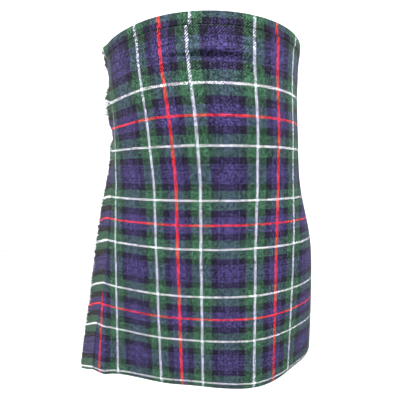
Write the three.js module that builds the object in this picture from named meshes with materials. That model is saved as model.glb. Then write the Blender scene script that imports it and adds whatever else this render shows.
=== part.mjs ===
// A Scottish kilt in the hollow form that it has when it is worn: two flat aprons
// in front, knife pleats behind, a narrow waistband, a fringed apron edge, and two
// leather straps with buckles at the waist. Millimetres, +Z up, wearer facing -Y.
// The origin is the centre of the waist at the height of the straps.
import * as THREE from "three";

// ---------- driving sizes ----------
const hemHeight = -560;
const topHeight = 50;
const bandHeight = 16;
const seamGap = 0.3;

const apronCloth = 1.6;
const pleatCloth = 1.2;
const pleatCount = 21;

// A table is written as rows of numbers under its column names.
function table(columns, rows) {
  return rows.map((row) => Object.fromEntries(columns.map((column, i) => [column, row[i]])));
}

// Horizontal sections of the outer surface, from the hem up: ovals, each turned by a
// few degrees. At the wearer's right the over-apron hangs forward by apronForward, and past
// its corner it heads apronHeading degrees backwards.
const sections = table([
  "height", "halfWidth", "halfDepth", "centreX",
  "centreY", "turn", "apronForward", "apronHeading",
], [
  [-560,   232,   154,  6.8, -5.1,  1.5, 65.6, 30],
  [-430, 228.5,   146,  4.3,  1.1,  0.4, 44.5, 37],
  [-300, 218.6, 133.3,  2.5,  6.2, -0.8, 30.5, 41],
  [-180, 190.8, 124.3,   -3,    4, -3.1, 23.6, 50],
  [ -90, 175.6, 130.5, -1.4, -0.9, -4.9, 23.6, 53],
  [ -10, 169.6, 131.9,   -4, -3.5, -6.4, 23.6, 54],
  [  50, 169.4, 129.1, -4.2, -4.7, -7.6, 23.6, 55],
]);
const bodyForward = 23.6; // the same for the layers below the over-apron
const forwardFrom = 28; // degrees round from the centre front
const forwardFull = 73; // the over-apron's corner
const cornerSoftness = 10;
const cornerStep = 3; // millimetres past the corner for each degree

// How the wrap is laid out at each height. Distances run along the outer surface
// from the centre of the front, positive towards the wearer's left.
const wrap = table([
  "height", "apronEdge", "lastFold", "crease",
  "layerPitch", "underDepth", "foldReach",
], [
  [-560, -273, -276, 312, 3.0, 7.0,  3.0],
  [-460, -262, -273, 305, 2.9, 6.9,  2.9],
  [-390, -241, -270, 300, 2.7, 6.7,  2.8],
  [-300, -226, -265, 290, 2.6, 6.6,  2.7],
  [-180, -206, -247, 266, 2.4, 6.4,  2.6],
  [ -90, -192, -236, 258, 2.2, 6.2,  2.5],
  [  50, -179, -228, 254, 2.0, 6.0, 2.25],
]);
const underApronEndShare = 0.68; // the under-apron's free edge, as a share of a quarter turn

// The fringe: how far it reaches from the apron's edge, and how much it turns outward.
const fringe = table(["height", "reach", "lift"], [
  [-560, 18, 30],
  [-460, 19, 36],
  [-380, 24, 38],
  [-290, 20, 42],
  [-205, 15, 42],
  [-150,  6, 20],
  [ -60,  6, 15],
  [  34,  5, 10],
]);
const fringeThickness = 1.2;
const fringeRoot = 1.5;
const fringeGap = 0.5;

const wallHeights = [-560, -460, -380, -290, -205, -120, -16, 16];
const seamHeight = topHeight - bandHeight;
const bandStandOut = 0.6;
const bandThickness = 2.8;
const backBandThickness = 11.2;

const strapWidth = 28;
const strapThickness = 2.2;
const strapClearance = 0.6;
const hiddenClearance = 1.3;
const frameStandOff = 2;
const heelClearance = 1.6;
const slitHalfWidth = 4;
const slitBeforeCrease = 16;

const buckle = { inside: 31, length: 34, bar: 3.2, prong: 2.2, corner: 4 };
const chapeLength = 46;
const chapeGap = 2;

// Where the straps run, in millimetres along the surface.
const strapRun = {
  tucked: 28, // how far inside the apron's edge the right strap starts
  leaves: 22, // how far past that edge it comes out
  leftStart: 0.6, // the left strap's start, as a share of a quarter turn
  toBuckle: 70, // from the last fold or the crease to the buckle's heel bar
  steps: [6, 14], // where a strap has stepped out, and where it lies flat again
  overHeel: [-3, 4], // the stretch that passes over the heel bar
  tongue: [12, 62], // the free end beyond the buckle
};

// ---------- materials ----------
const tartan = new THREE.MeshStandardMaterial({ color: 0x3f4a5c, roughness: 0.92 });
const fringeWool = new THREE.MeshStandardMaterial({ color: 0x33443f, roughness: 0.95 });
const leather = new THREE.MeshStandardMaterial({ color: 0x1b1a1a, roughness: 0.5 });
const nickel = new THREE.MeshStandardMaterial({ color: 0xb9bbbe, roughness: 0.28, metalness: 1 });

const kilt = new THREE.Group();

function addMesh(name, geometry, material) {
  const mesh = new THREE.Mesh(geometry, material);
  mesh.name = name;
  kilt.add(mesh);
}

// ---------- the body form ----------

// Value of one column of a table at a height, on a smooth curve through its rows.
function columnAt(table, column, height) {
  const last = table.length - 1;
  const slope = (i) => {
    const below = table[Math.max(i - 1, 0)];
    const above = table[Math.min(i + 1, last)];
    return (above[column] - below[column]) / (above.height - below.height);
  };
  let i = 0;
  while (i < last - 1 && height > table[i + 1].height) i += 1;
  const low = table[i];
  const high = table[i + 1];
  const span = high.height - low.height;
  const t = (height - low.height) / span;
  const rise = high[column] - low[column];
  const a = slope(i) * span - rise;
  const b = rise - slope(i + 1) * span;
  return low[column] + rise * t + t * (1 - t) * (a * (1 - t) + b * t);
}

// How far forward the surface is moved at a turn (degrees from the centre front).
function forwardAt(turn, over, section) {
  const round = -turn;
  const most = over ? section.apronForward : bodyForward;
  const share = Math.max(round - forwardFrom, 0) / (forwardFull - forwardFrom);
  if (round < forwardFull) return most * share * share;
  const fade = (round - forwardFull) / (180 - forwardFull);
  return most * Math.cos((fade * Math.PI) / 2) ** 2;
}

function ovalPoint(section, degrees, over) {
  const turn = THREE.MathUtils.degToRad(degrees);
  const forward = forwardAt(degrees, over, section);
  return new THREE.Vector2(
    section.halfWidth * Math.sin(turn),
    -section.halfDepth * Math.cos(turn) - forward,
  );
}

// The over-apron beyond its corner: it bends from the oval's direction to its own.
function pastCorner(section, distance) {
  const corner = ovalPoint(section, -forwardFull, true);
  const ahead = corner.clone().sub(ovalPoint(section, 1 - forwardFull, true)).normalize();
  const heading = THREE.MathUtils.degToRad(section.apronHeading);
  const back = new THREE.Vector2(-Math.cos(heading), Math.sin(heading));
  const bent = distance ** 2 / (distance + cornerSoftness);
  return corner.addScaledVector(ahead, distance - bent).addScaledVector(back, bent);
}

// The oval at one height, with the distance along it from the centre front.
function ringAt(height, over) {
  const section = {};
  for (const column of Object.keys(sections[0])) {
    section[column] = columnAt(sections, column, height);
  }
  const twist = THREE.MathUtils.degToRad(section.turn);
  const steps = 720;
  const points = [];
  const distance = [0];
  for (let i = 0; i <= steps; i += 1) {
    const full = (i / steps) * 360;
    const degrees = full > 180 ? full - 360 : full;
    let point = ovalPoint(section, degrees, over);
    if (over && -degrees > forwardFull) {
      point = pastCorner(section, (-degrees - forwardFull) * cornerStep);
    }
    point.rotateAround(new THREE.Vector2(), twist);
    points.push(point.add(new THREE.Vector2(section.centreX, section.centreY)));
    if (i > 0) distance.push(distance[i - 1] + points[i].distanceTo(points[i - 1]));
  }
  const length = distance[steps];
  return {
    length,
    at(along) {
      const s = ((along % length) + length) % length;
      let low = 0;
      let high = steps;
      while (high - low > 1) {
        const middle = (low + high) >> 1;
        if (distance[middle] <= s) low = middle;
        else high = middle;
      }
      const share = (s - distance[low]) / (distance[high] - distance[low]);
      const point = points[low].clone().lerp(points[high], share);
      const before = points[(low - 3 + steps) % steps];
      const after = points[(high + 3) % steps];
      const tangent = after.clone().sub(before).normalize();
      return { point, tangent, normal: new THREE.Vector2(tangent.y, -tangent.x) };
    },
  };
}

const rings = new Map();
function ring(height, over = false) {
  const key = `${height} ${over}`;
  if (!rings.has(key)) rings.set(key, ringAt(height, over));
  return rings.get(key);
}

// A point at a height, a distance along the surface, and a depth inside it.
function place(height, along, depth, over = false) {
  const { point, normal } = ring(height, over).at(along);
  return new THREE.Vector3(point.x - normal.x * depth, point.y - normal.y * depth, height);
}

const wrapAt = (column, height) => columnAt(wrap, column, height);
const quarter = (height) => ring(height).length / 4;
const creaseAlong = (height) => wrapAt("crease", height);

// ---------- walls of cloth ----------

// A closed wall from two grids of points (rows upwards, columns along the path).
// Cells for which open(row, column) is true are left out, with a cut edge all round.
function wallGeometry(outer, inner, open = () => false) {
  const rows = outer.length;
  const columns = outer[0].length;
  const positions = [];
  for (const grid of [outer, inner]) {
    for (const row of grid) for (const p of row) positions.push(p.x, p.y, p.z);
  }
  const id = (face, r, c) => (face * rows + r) * columns + c;
  const triangles = [];
  const quad = (a, b, c, d) => triangles.push(a, b, c, a, c, d);
  const solid = (r, c) => r >= 0 && c >= 0 && r < rows - 1 && c < columns - 1 && !open(r, c);
  for (let r = 0; r < rows - 1; r += 1) {
    for (let c = 0; c < columns - 1; c += 1) {
      if (!solid(r, c)) continue;
      quad(id(0, r, c), id(0, r, c + 1), id(0, r + 1, c + 1), id(0, r + 1, c));
      quad(id(1, r, c), id(1, r + 1, c), id(1, r + 1, c + 1), id(1, r, c + 1));
      const edges = [
        [r - 1, c, [r, c], [r, c + 1]],
        [r, c + 1, [r, c + 1], [r + 1, c + 1]],
        [r + 1, c, [r + 1, c + 1], [r + 1, c]],
        [r, c - 1, [r + 1, c], [r, c]],
      ];
      for (const [nextRow, nextColumn, from, to] of edges) {
        if (solid(nextRow, nextColumn)) continue;
        quad(id(0, ...to), id(0, ...from), id(1, ...from), id(1, ...to));
      }
    }
  }
  const geometry = new THREE.BufferGeometry();
  geometry.setAttribute("position", new THREE.Float32BufferAttribute(positions, 3));
  geometry.setIndex(triangles);
  return geometry.toNonIndexed();
}

// A path is a list of [along, depth]. Its two faces lie half a thickness to each side,
// with mitred corners; the outer face is on the outside where the path runs forwards.
function offsetPath(path, distance) {
  const directions = path.slice(1).map(([s, d], i) => {
    return new THREE.Vector2(s - path[i][0], d - path[i][1]).normalize();
  });
  return path.map(([s, d], i) => {
    const before = directions[Math.max(i - 1, 0)];
    const after = directions[Math.min(i, directions.length - 1)];
    const scale = distance / (1 + before.dot(after));
    return [s + (before.y + after.y) * scale, d - (before.x + after.x) * scale];
  });
}

function clothWall(name, heights, pathAt, thickness, { over = false, open } = {}) {
  const grids = [0.5, -0.5].map((side) => heights.map((height) => {
    const path = offsetPath(pathAt(height), side * thickness);
    return path.map(([along, depth]) => place(height, along, depth, over));
  }));
  addMesh(name, wallGeometry(grids[0], grids[1], open), tartan);
}

function spread(from, to, count) {
  return Array.from({ length: count + 1 }, (_, i) => from + ((to - from) * i) / count);
}

// ---------- knife pleats ----------

// Outer fold edges, numbered from the over-apron's crease (0) round the back to the last.
function foldEdge(index, height) {
  const start = creaseAlong(height);
  const end = ring(height).length + wrapAt("lastFold", height);
  return start + ((end - start) * index) / pleatCount;
}

const foldSpacing = (height) => foldEdge(1, height) - foldEdge(0, height);

// Depth of the middle of the leg that rises to an outer fold, at a place before it.
function legDepth(index, along, height) {
  const slope = (2 * wrapAt("layerPitch", height)) / foldSpacing(height);
  return pleatCloth / 2 + slope * (foldEdge(index, height) - along);
}

function innerFold(index, height) {
  return foldEdge(index, height) - wrapAt("foldReach", height) * foldSpacing(height);
}

// From the inner fold up to the outer fold that shows.
function risingLeg(index, height) {
  const stops = [
    innerFold(index, height),
    foldEdge(index - 2, height),
    foldEdge(index - 1, height),
    foldEdge(index, height) - pleatCloth / 2,
  ];
  return stops.map((along) => [along, legDepth(index, along, height)]);
}

// From the outer fold back under, to the next inner fold.
function returningLeg(index, height) {
  const pitch = wrapAt("layerPitch", height);
  const stops = [
    foldEdge(index, height) - pleatCloth / 2,
    foldEdge(index - 1, height),
    innerFold(index + 1, height),
  ];
  return stops.map((along) => [along, legDepth(index, along, height) + pitch]);
}

function pleatedBackPath(height) {
  const path = [];
  for (let index = 1; index <= pleatCount; index += 1) {
    path.push(...risingLeg(index, height), ...returningLeg(index, height));
  }
  return path;
}

// ---------- the pieces of cloth ----------
const wallRows = [...wallHeights, seamHeight - seamGap];

// The over-apron runs from its free edge to the crease and a little way back under it.
const slitCentre = (height) => creaseAlong(height) - slitBeforeCrease;
const apronColumns = 24;

function overApronPath(height) {
  const slit = slitCentre(height);
  const middle = apronCloth / 2;
  const front = spread(wrapAt("apronEdge", height), slit - slitHalfWidth, apronColumns);
  const path = front.map((along) => [along, middle]);
  path.push([slit + slitHalfWidth, middle]);
  path.push([foldEdge(0, height) - middle, middle]);
  const pitch = wrapAt("layerPitch", height);
  path.push([foldEdge(0, height) - middle, middle + pitch]);
  path.push([foldEdge(-1, height), legDepth(0, foldEdge(-1, height), height) + pitch + 0.2]);
  return path;
}

const slitRow = wallRows.indexOf(-16);
clothWall("over_apron", wallRows, overApronPath, apronCloth, {
  over: true,
  open: (row, column) => row === slitRow && column === apronColumns,
});

// The under-apron starts below the last pleat and runs to the wearer's left.
function underApronPath(height) {
  const depth = wrapAt("underDepth", height) + apronCloth / 2;
  const last = wrapAt("lastFold", height);
  const end = underApronEndShare * quarter(height);
  const start = last - foldSpacing(height);
  const startDepth = depth + 2 * wrapAt("layerPitch", height);
  return [[start, startDepth], ...spread(last, end, 22).map((along) => [along, depth])];
}
clothWall("under_apron", wallRows, underApronPath, apronCloth);

clothWall("pleated_back", wallRows, pleatedBackPath, pleatCloth);

// ---------- fringe ----------

// The strip leaves the apron's edge straight ahead, turned outward by its lift.
function fringeRow(height, side) {
  const edge = ring(height, true).at(wrapAt("apronEdge", height) - fringeGap);
  const lift = THREE.MathUtils.degToRad(columnAt(fringe, "lift", height));
  const reach = columnAt(fringe, "reach", height);
  const ahead = edge.tangent.clone().negate();
  const turned = ahead.clone().rotateAround(new THREE.Vector2(), lift);
  const across = (along) => new THREE.Vector2(-along.y, along.x);
  const root = edge.point.clone().addScaledVector(edge.normal, -apronCloth / 2);
  const bend = root.clone().addScaledVector(ahead, fringeRoot);
  const stations = [
    [bend.clone().addScaledVector(turned, reach), turned],
    [bend.clone().addScaledVector(turned, reach / 2), turned],
    [bend, turned.clone().add(ahead).normalize()],
    [root, ahead],
  ];
  return stations.map(([point, along]) => {
    const p = point.clone().addScaledVector(across(along), side * fringeThickness);
    return new THREE.Vector3(p.x, p.y, height);
  });
}
{
  const grids = [0.5, -0.5].map((side) => wallRows.map((height) => fringeRow(height, side)));
  addMesh("fringe", wallGeometry(grids[0], grids[1]), fringeWool);
}

// ---------- waistband ----------
const bandRows = [seamHeight, topHeight];

function bandPiece(name, from, to, count, outerDepth, thickness, over) {
  const path = (height) => spread(from(height), to(height), count)
    .map((along) => [along, outerDepth + thickness / 2]);
  clothWall(name, bandRows, path, thickness, { over });
}
bandPiece("waistband_front", (h) => wrapAt("apronEdge", h), creaseAlong, 24,
  -bandStandOut, bandThickness, true);
bandPiece("waistband_back", (h) => creaseAlong(h) + seamGap,
  (h) => ring(h).length + wrapAt("lastFold", h), 28, -bandStandOut, backBandThickness);
bandPiece("waistband_under", (h) => wrapAt("lastFold", h) + seamGap,
  (h) => underApronEndShare * quarter(h), 22,
  wrapAt("underDepth", topHeight) - bandStandOut, bandThickness);

// ---------- straps, buckles and chapes ----------

// A strip of leather on a route of [along, depth of its middle], level with the origin.
function leatherStrip(name, route, width, thickness) {
  const forwards = route[0][0] < route[route.length - 1][0] ? route : [...route].reverse();
  const grids = [0.5, -0.5].map((side) => [-width / 2, width / 2].map((height) => {
    return offsetPath(forwards, side * thickness).map(([along, depth]) => place(height, along, depth));
  }));
  addMesh(name, wallGeometry(grids[0], grids[1]), leather);
}

// A piece built flat (x along the surface, y up, z outwards) and set on the surface.
function setOnSurface(name, geometry, along, depth, direction) {
  const { point, tangent, normal } = ring(0).at(along);
  const x = new THREE.Vector3(tangent.x * direction, tangent.y * direction, 0);
  const z = new THREE.Vector3(normal.x, normal.y, 0);
  const y = z.clone().cross(x);
  const matrix = new THREE.Matrix4().makeBasis(x, y, z);
  matrix.setPosition(point.x - normal.x * depth, point.y - normal.y * depth, 0);
  addMesh(name, geometry.applyMatrix4(matrix), nickel);
}

// x runs from the heel bar towards the strap's start.
function buckleFrame() {
  const half = buckle.inside / 2 + buckle.bar;
  const outline = new THREE.Shape([
    [-buckle.bar / 2, -half],
    [buckle.length - buckle.corner, -half], [buckle.length, -half + buckle.corner],
    [buckle.length, half - buckle.corner], [buckle.length - buckle.corner, half],
    [-buckle.bar / 2, half],
  ].map(([x, y]) => new THREE.Vector2(x, y)));
  const inside = buckle.inside / 2;
  const far = buckle.length - buckle.bar;
  outline.holes.push(new THREE.Path([
    [buckle.bar / 2, -inside], [buckle.bar / 2, inside], [far, inside], [far, -inside],
  ].map(([x, y]) => new THREE.Vector2(x, y))));
  const frame = new THREE.ExtrudeGeometry(outline, { depth: buckle.bar, bevelEnabled: false });
  return frame.translate(0, 0, -buckle.bar / 2);
}

// Each fastening runs from inside an apron's end round to a buckle on the pleats.
function fastening(side, direction, start, leavesAt, buckleAt) {
  const outside = -(strapClearance + strapThickness / 2);
  const hidden = apronCloth + hiddenClearance + strapThickness / 2;
  const overHeel = -(frameStandOff + buckle.bar + heelClearance + strapThickness / 2);
  const overChape = -(2 * strapClearance + strapThickness + strapThickness / 2);
  const go = (from, distance) => from + direction * distance;
  const route = [
    ...spread(start, leavesAt, 5).map((s) => [s, hidden]),
    [go(leavesAt, strapRun.steps[0]), outside],
    ...spread(go(leavesAt, strapRun.steps[1]), go(buckleAt, -strapRun.steps[1]), 8)
      .map((s) => [s, outside]),
    ...strapRun.overHeel.map((distance) => [go(buckleAt, distance), overHeel]),
    ...spread(go(buckleAt, strapRun.tongue[0]), go(buckleAt, strapRun.tongue[1]), 5)
      .map((s) => [s, overChape]),
  ];
  leatherStrip(`strap_${side}`, route, strapWidth, strapThickness);
  const chape = spread(go(buckleAt, buckle.bar / 2 + chapeGap), go(buckleAt, chapeLength), 5);
  leatherStrip(`chape_${side}`, chape.map((s) => [s, outside]), strapWidth, strapThickness);
  const heelDepth = -(frameStandOff + buckle.bar / 2);
  setOnSurface(`buckle_${side}`, buckleFrame(), buckleAt, heelDepth, -direction);
  const prongLength = buckle.length + 2;
  const prong = new THREE.CapsuleGeometry(buckle.prong / 2, prongLength, 3, 8);
  prong.rotateZ(Math.PI / 2).translate(prongLength / 2 - 3, 0, 0);
  const prongDepth = overHeel - strapThickness / 2 - buckle.prong / 2 - heelClearance;
  setOnSurface(`prong_${side}`, prong, buckleAt, prongDepth, -direction);
}

const rightEdge = wrapAt("apronEdge", 0);
fastening("right", -1, rightEdge + strapRun.tucked, rightEdge - strapRun.leaves,
  wrapAt("lastFold", 0) - strapRun.toBuckle);
fastening("left", 1, strapRun.leftStart * quarter(0), slitCentre(0) - 3,
  creaseAlong(0) + strapRun.toBuckle);

export default kilt;
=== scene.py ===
# A Scottish kilt as it hangs when it is worn: fine cloth over the CAD frame.
# Lengths are worked out in millimetres and become metres when a mesh is made.
import math

import bpy
import numpy as np
from mathutils import Matrix, Vector


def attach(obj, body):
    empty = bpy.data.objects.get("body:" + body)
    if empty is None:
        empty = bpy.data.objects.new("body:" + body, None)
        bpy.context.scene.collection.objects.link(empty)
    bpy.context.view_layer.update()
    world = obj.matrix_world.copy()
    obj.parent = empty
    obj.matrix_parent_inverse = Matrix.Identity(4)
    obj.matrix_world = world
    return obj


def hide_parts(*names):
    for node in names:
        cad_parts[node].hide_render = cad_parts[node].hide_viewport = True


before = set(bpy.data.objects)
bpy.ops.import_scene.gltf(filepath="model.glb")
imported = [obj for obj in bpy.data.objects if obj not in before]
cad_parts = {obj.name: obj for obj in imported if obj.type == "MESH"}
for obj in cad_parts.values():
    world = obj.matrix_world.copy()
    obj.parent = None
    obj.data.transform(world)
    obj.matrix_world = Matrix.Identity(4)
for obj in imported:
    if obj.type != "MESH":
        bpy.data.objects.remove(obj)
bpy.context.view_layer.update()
rng = np.random.default_rng(7)
print("frame loaded")

# height, halfWidth, halfDepth, centreX, centreY, turn, apronForward, apronHeading
bodySections = np.array([
    [-560, 232.0, 154.0, 6.8, -5.1, 1.5, 65.6, 30],
    [-430, 228.5, 146.0, 4.3, 1.1, 0.4, 44.5, 37],
    [-300, 218.6, 133.3, 2.5, 6.2, -0.8, 30.5, 41],
    [-180, 190.8, 124.3, -3.0, 4.0, -3.1, 23.6, 50],
    [-90, 175.6, 130.5, -1.4, -0.9, -4.9, 23.6, 53],
    [-10, 169.6, 131.9, -4.0, -3.5, -6.4, 23.6, 54],
    [50, 169.4, 129.1, -4.2, -4.7, -7.6, 23.6, 55],
])
# height, apronEdge, lastFold, crease, layerPitch, underDepth, foldReach
wrapTable = np.array([
    [-560, -273, -276, 312, 3.0, 7.0, 3.3],
    [-460, -262, -273, 305, 2.9, 6.9, 3.25],
    [-390, -241, -270, 300, 2.7, 6.7, 3.15],
    [-300, -226, -265, 290, 2.6, 6.6, 3.05],
    [-180, -206, -247, 266, 2.4, 6.4, 2.9],
    [-90, -192, -236, 258, 2.2, 6.2, 2.8],
    [50, -179, -228, 254, 2.0, 6.0, 2.6],
])
wrapColumns = ["height", "apronEdge", "lastFold", "crease", "layerPitch", "underDepth", "foldReach"]
form = {
    "hem": -560.0, "top": 50.0, "band": 16.0, "seamGap": 0.3,
    "apronCloth": 1.6, "pleatCloth": 1.2, "pleats": 21,
    "bodyForward": 23.6, "forwardFrom": 28, "forwardFull": 73,
    "cornerSoftness": 10, "cornerStep": 3, "underEnd": 0.68,
}
seamHeight = form["top"] - form["band"]


def smoothRow(table, height):
    last = len(table) - 1
    i = int(np.clip(np.searchsorted(table[:, 0], height, "right") - 1, 0, last - 1))

    def slope(k):
        below, above = table[max(k - 1, 0)], table[min(k + 1, last)]
        return (above - below) / (above[0] - below[0])

    low, high = table[i], table[i + 1]
    span = high[0] - low[0]
    t = (height - low[0]) / span
    rise = high - low
    a = slope(i) * span - rise
    b = rise - slope(i + 1) * span
    return low + rise * t + t * (1 - t) * (a * (1 - t) + b * t)


def wrapAt(column, height):
    return smoothRow(wrapTable, height)[wrapColumns.index(column)]


def ovalPoints(section, degrees, over):
    rounds = -degrees
    most = section[6] if over else form["bodyForward"]
    full = form["forwardFull"]
    share = np.maximum(rounds - form["forwardFrom"], 0) / (full - form["forwardFrom"])
    fade = np.clip((rounds - full) / (180 - full), 0, 1)
    forward = np.where(rounds < full, most * share**2, most * np.cos(fade * math.pi / 2) ** 2)
    turn = np.radians(degrees)
    return np.stack([section[1] * np.sin(turn), -section[2] * np.cos(turn) - forward], -1)


class Ring:
    # the surface's line at one height, measured from the centre of the front
    def __init__(self, height, over):
        section = smoothRow(bodySections, height)
        full = np.arange(721) / 2.0
        degrees = np.where(full > 180, full - 360, full)
        points = ovalPoints(section, degrees, over)
        if over:
            past = -degrees > form["forwardFull"]
            corner, before = ovalPoints(section, np.array([-73.0, -72.0]), True)
            ahead = (corner - before) / np.linalg.norm(corner - before)
            heading = math.radians(section[7])
            back = np.array([-math.cos(heading), math.sin(heading)])
            distance = (-degrees[past] - form["forwardFull"]) * form["cornerStep"]
            bent = distance**2 / (distance + form["cornerSoftness"])
            points[past] = corner + np.outer(distance - bent, ahead) + np.outer(bent, back)
        twist = math.radians(section[5])
        spin = np.array([[math.cos(twist), math.sin(twist)], [-math.sin(twist), math.cos(twist)]])
        self.points = points @ spin + section[3:5]
        steps = np.linalg.norm(np.diff(self.points, axis=0), axis=1)
        self.distance = np.concatenate([[0], np.cumsum(steps)])
        self.length = self.distance[-1]
        tangents = np.roll(self.points[:-1], -3, 0) - np.roll(self.points[:-1], 3, 0)
        tangents /= np.linalg.norm(tangents, axis=1)[:, None]
        self.tangents = np.vstack([tangents, tangents[:1]])

    def at(self, along):
        s = np.mod(along, self.length)
        point = np.stack([np.interp(s, self.distance, self.points[:, k]) for k in (0, 1)], -1)
        tangent = np.stack([np.interp(s, self.distance, self.tangents[:, k]) for k in (0, 1)], -1)
        tangent /= np.linalg.norm(tangent, axis=-1, keepdims=True)
        normal = np.stack([tangent[..., 1], -tangent[..., 0]], -1)
        return point, tangent, normal


rings = {}


def ring(height, over=False):
    key = (round(float(height), 4), over)
    if key not in rings:
        rings[key] = Ring(height, over)
    return rings[key]


def hump(x, centre, width):
    return np.exp(-(((x - centre) / width) ** 2))


# The soft folds of the front: place and width round the body, then height and reach upwards.
frontFolds = {
    "valley": {"along": -45, "width": 60, "out": -8.0, "fadesAt": 300},
    "ridge": {"along": 85, "width": 48, "out": 6.5, "fadesAt": 300},
    "leftValley": {"along": 192, "width": 42, "out": -6.0, "fadesAt": 330},
    "dentRidge": {"along": 30, "width": 46, "height": 5, "tall": 6.0, "out": 4.4},
    "dent": {"along": 26, "width": 40, "height": -2.5, "tall": 2.4, "out": -4.2},
    "dentTail": {"along": 76, "width": 44, "height": -6.5, "tall": 2.8, "out": -1.8},
    # the band's free end springs away from the body
    "bandEnd": {"along": -192, "width": 15, "height": 48, "tall": 12, "out": 6.5},
}
hemRoll = {"tall": 13.0, "in": 4.0}


def relief(height, along):
    up = height - form["hem"]
    total = np.zeros_like(along, dtype=float)
    for fold in frontFolds.values():
        if "fadesAt" in fold:
            share = np.clip(1 - up / fold["fadesAt"], 0, 1)
            amount = fold["out"] * share**1.4
        else:
            amount = fold["out"] * hump(height, fold["height"], fold["tall"])
        total += amount * hump(along, fold["along"], fold["width"])
    # the pressed hem rolls slightly inwards
    return total - hemRoll["in"] * max(0.0, 1 - up / hemRoll["tall"])**2


def place(height, along, depth, over=False):
    line = ring(height, over)
    along = np.asarray(along, dtype=float)
    point, _, normal = line.at(along)
    wrapped = np.mod(along + line.length / 2, line.length) - line.length / 2
    inside = depth - relief(height, wrapped)
    flat = point - normal * np.asarray(inside)[..., None]
    return np.concatenate([flat, np.full(flat.shape[:-1] + (1,), float(height))], -1)


def offsetPath(path, distance):
    steps = np.diff(path, axis=0)
    steps /= np.linalg.norm(steps, axis=1)[:, None]
    before = np.vstack([steps[:1], steps])
    after = np.vstack([steps, steps[-1:]])
    scale = distance / (1 + np.sum(before * after, axis=1))
    side = np.stack([before[:, 1] + after[:, 1], -(before[:, 0] + after[:, 0])], -1)
    return path + side * scale[:, None]


def quarter(height):
    return ring(height).length / 4


def foldEdge(index, height):
    start = wrapAt("crease", height)
    end = ring(height).length + wrapAt("lastFold", height)
    return start + (end - start) * index / form["pleats"]


def foldSpacing(height):
    return foldEdge(1, height) - foldEdge(0, height)


def legDepth(index, along, height):
    slope = 2 * wrapAt("layerPitch", height) / foldSpacing(height)
    return form["pleatCloth"] / 2 + slope * (foldEdge(index, height) - along)


def heights(marks, *steps):
    rows = [marks[0]]
    for low, high, step in zip(marks, marks[1:], steps):
        count = max(1, round((high - low) / step))
        rows += list(np.linspace(low, high, count + 1)[1:])
    return rows


# The sett turns on the middle of its red line and on the middle of its blue ground.
# A pattern coordinate counts half setts: red at 0, white at 0.5, the blue pivot at 1.
sett = {
    "warpRed": -231.0, "warpRedToWhite": 41.36, "warpWhiteToWhite": 98.93,
    "weftRed": -28.4, "weftRedToWhite": 42.0, "weftWhiteToWhite": 85.9,
}
grainHeights = [0, 130, 260, 380, 470, 550, 610]
grainShift = [-14.2, -8.4, -4.5, 8.0, 6.7, 4.8, 4.7]
riseHeights = [0, 300, 610]
riseAtSides = [-3.3, 3.05, 3.7]


def halfSetts(distance, redToWhite, whiteToWhite):
    period = 2 * redToWhite + whiteToWhite
    whole = np.floor(distance / period)
    rest = distance - whole * period
    stops = [0, redToWhite, redToWhite + whiteToWhite, period]
    return 2 * whole + np.interp(rest, stops, [0, 0.5, 1.5, 2])


def warpCoordinate(along):
    return halfSetts(along - sett["warpRed"], sett["warpRedToWhite"], sett["warpWhiteToWhite"])


def weftCoordinate(up):
    return halfSetts(up - sett["weftRed"], sett["weftRedToWhite"], sett["weftWhiteToWhite"])


def apronCloth(height, along):
    up = height - form["hem"]
    warp = warpCoordinate(along - np.interp(up, grainHeights, grainShift))
    rise = np.interp(up, riseHeights, riseAtSides)
    drop = 6 * hump(up, 500, 45) * hump(along, -160, 60)
    weft = weftCoordinate(up - rise * (along / 200) ** 2 + drop)
    return np.stack([warp, weft], -1)


def makeObject(name, vertices, faces, material, uv=None, smooth=40):
    mesh = bpy.data.meshes.new(name)
    mesh.from_pydata((np.asarray(vertices) * 0.001).tolist(), [], [list(f) for f in faces])
    mesh.validate()
    if uv is not None:
        layer = mesh.uv_layers.new(name="cloth")
        corner = np.empty(len(mesh.loops), dtype=np.int32)
        mesh.loops.foreach_get("vertex_index", corner)
        layer.data.foreach_set("uv", np.asarray(uv, dtype=np.float32)[corner].ravel())
    mesh.shade_smooth()
    mesh.set_sharp_from_angle(angle=math.radians(smooth))
    obj = bpy.data.objects.new(name, mesh)
    bpy.context.scene.collection.objects.link(obj)
    mesh.materials.append(material)
    return obj


def wallShell(name, outer, inner, coordinates, material, hole=None):
    outer, inner, coordinates = np.array(outer), np.array(inner), np.array(coordinates)
    rows, columns = outer.shape[:2]
    r, c = np.meshgrid(np.arange(rows - 1), np.arange(columns - 1), indexing="ij")
    solid = np.ones((rows - 1, columns - 1), bool)
    if hole is not None:
        solid[hole] = False
    first = r * columns + c
    front = np.stack([first, first + 1, first + columns + 1, first + columns], -1)
    far = rows * columns
    behind = np.stack([first, first + columns, first + columns + 1, first + 1], -1) + far
    faces = [front[solid], behind[solid]]
    padded = np.pad(solid, 1)
    core = padded[1:-1, 1:-1]
    sides = [
        (padded[:-2, 1:-1], first, first + 1),
        (padded[1:-1, 2:], first + 1, first + columns + 1),
        (padded[2:, 1:-1], first + columns + 1, first + columns),
        (padded[1:-1, :-2], first + columns, first),
    ]
    for neighbour, start, end in sides:
        edge = core & ~neighbour
        a, b = start[edge], end[edge]
        faces.append(np.stack([b, a, a + far, b + far], -1))
    vertices = np.concatenate([outer.reshape(-1, 3), inner.reshape(-1, 3)])
    flat = coordinates.reshape(-1, 2)
    uv = np.concatenate([flat, flat])
    used = np.concatenate(faces)
    keep = np.unique(used)
    renumber = np.zeros(len(vertices), int)
    renumber[keep] = np.arange(len(keep))
    return makeObject(name, vertices[keep], renumber[used], material, uv[keep])


def finishPiece(obj, slotName, *nodes):
    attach(obj, "root")
    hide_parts(*nodes)
    return obj


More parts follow.
